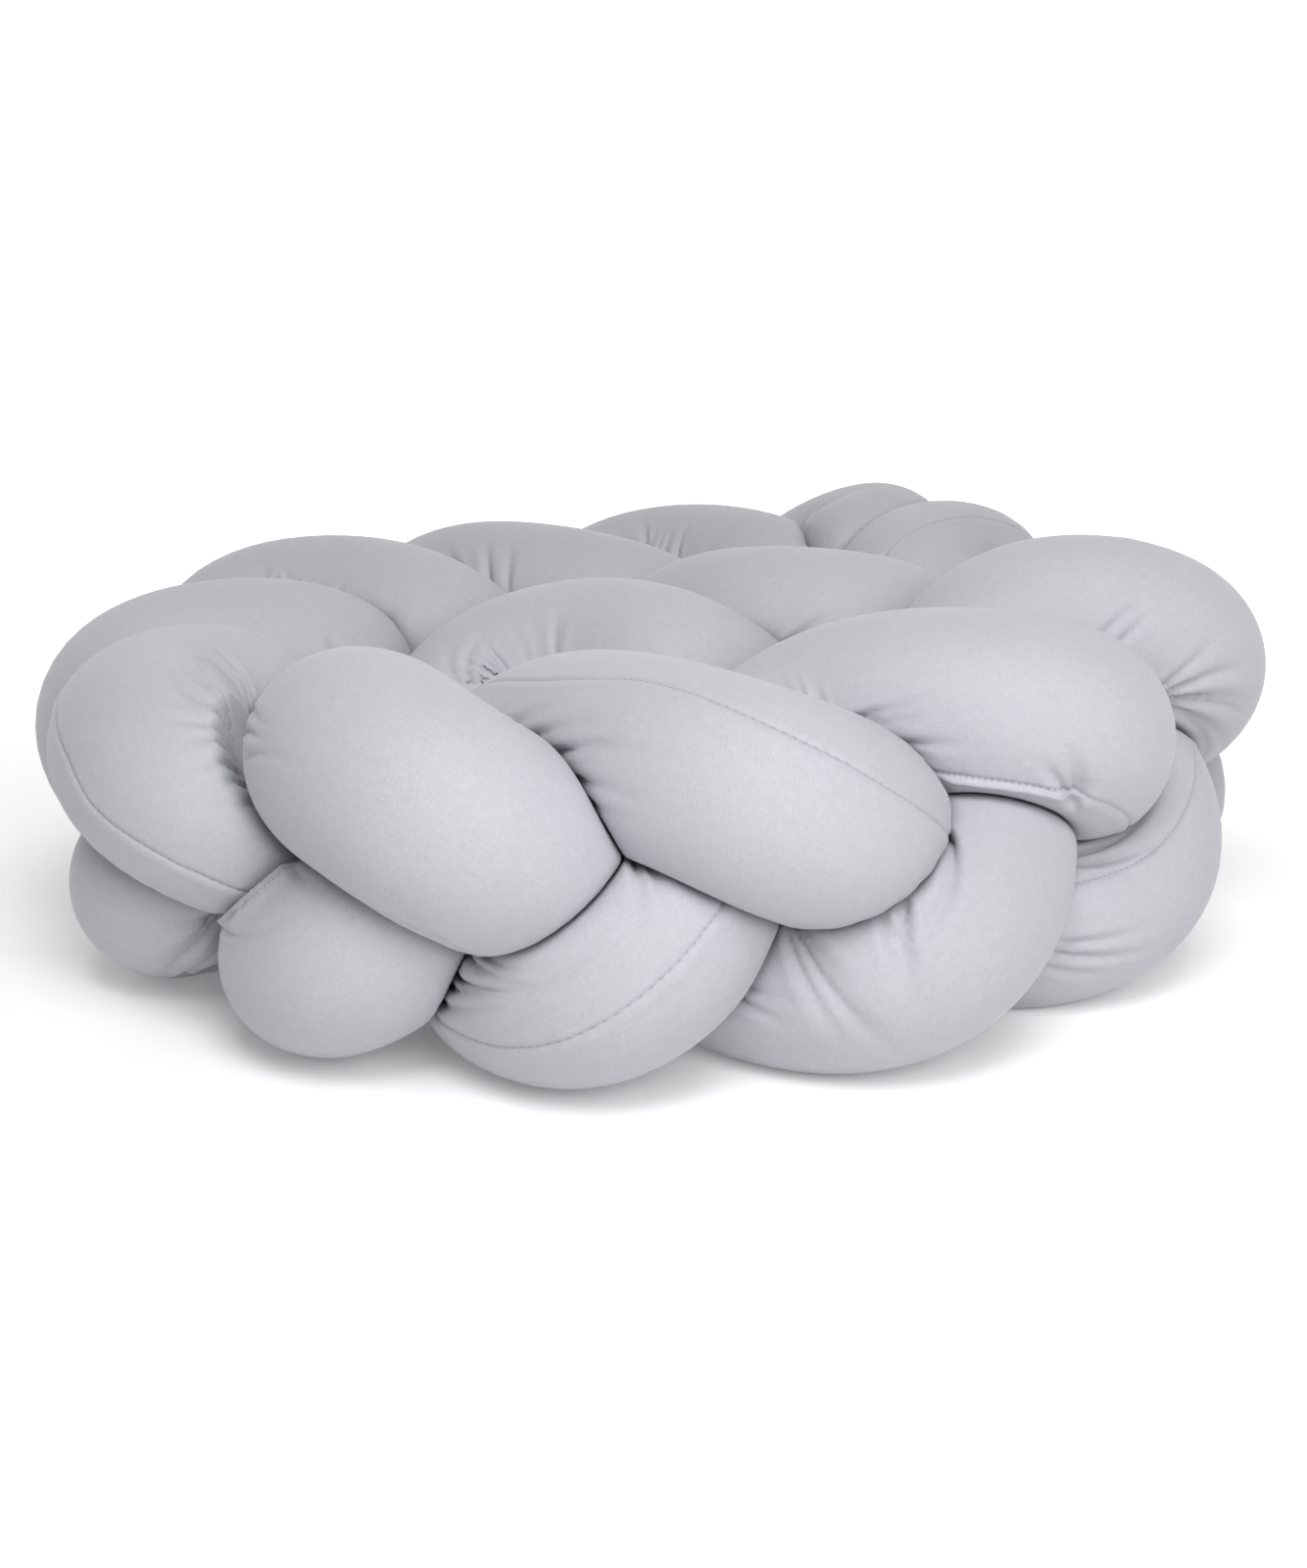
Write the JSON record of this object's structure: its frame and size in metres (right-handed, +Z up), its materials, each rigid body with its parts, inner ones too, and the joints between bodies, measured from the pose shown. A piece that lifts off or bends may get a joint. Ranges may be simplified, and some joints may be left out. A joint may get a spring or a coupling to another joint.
{
  "type": "braided crib bumper",
  "caption": "Long plait of stuffed cotton tubes, standing on edge and laid in a spiral coil: a soft padded barrier for the inside of a cot.",
  "frame": {"origin": "on the surface, under the middle of the coil", "axes": "+X to the right along the coil's longer side, seen from its front, +Y to the back, +Z up"},
  "size_m": [0.6144, 0.6094, 0.207],
  "materials": {
    "cotton": "pale cool grey plain-weave cotton with a soft satin sheen, tightly stuffed"
  },
  "bodies": {
    "root": {"tube_a": "cotton", "tube_b": "cotton", "tube_c": "cotton"}
  },
  "joints": []
}
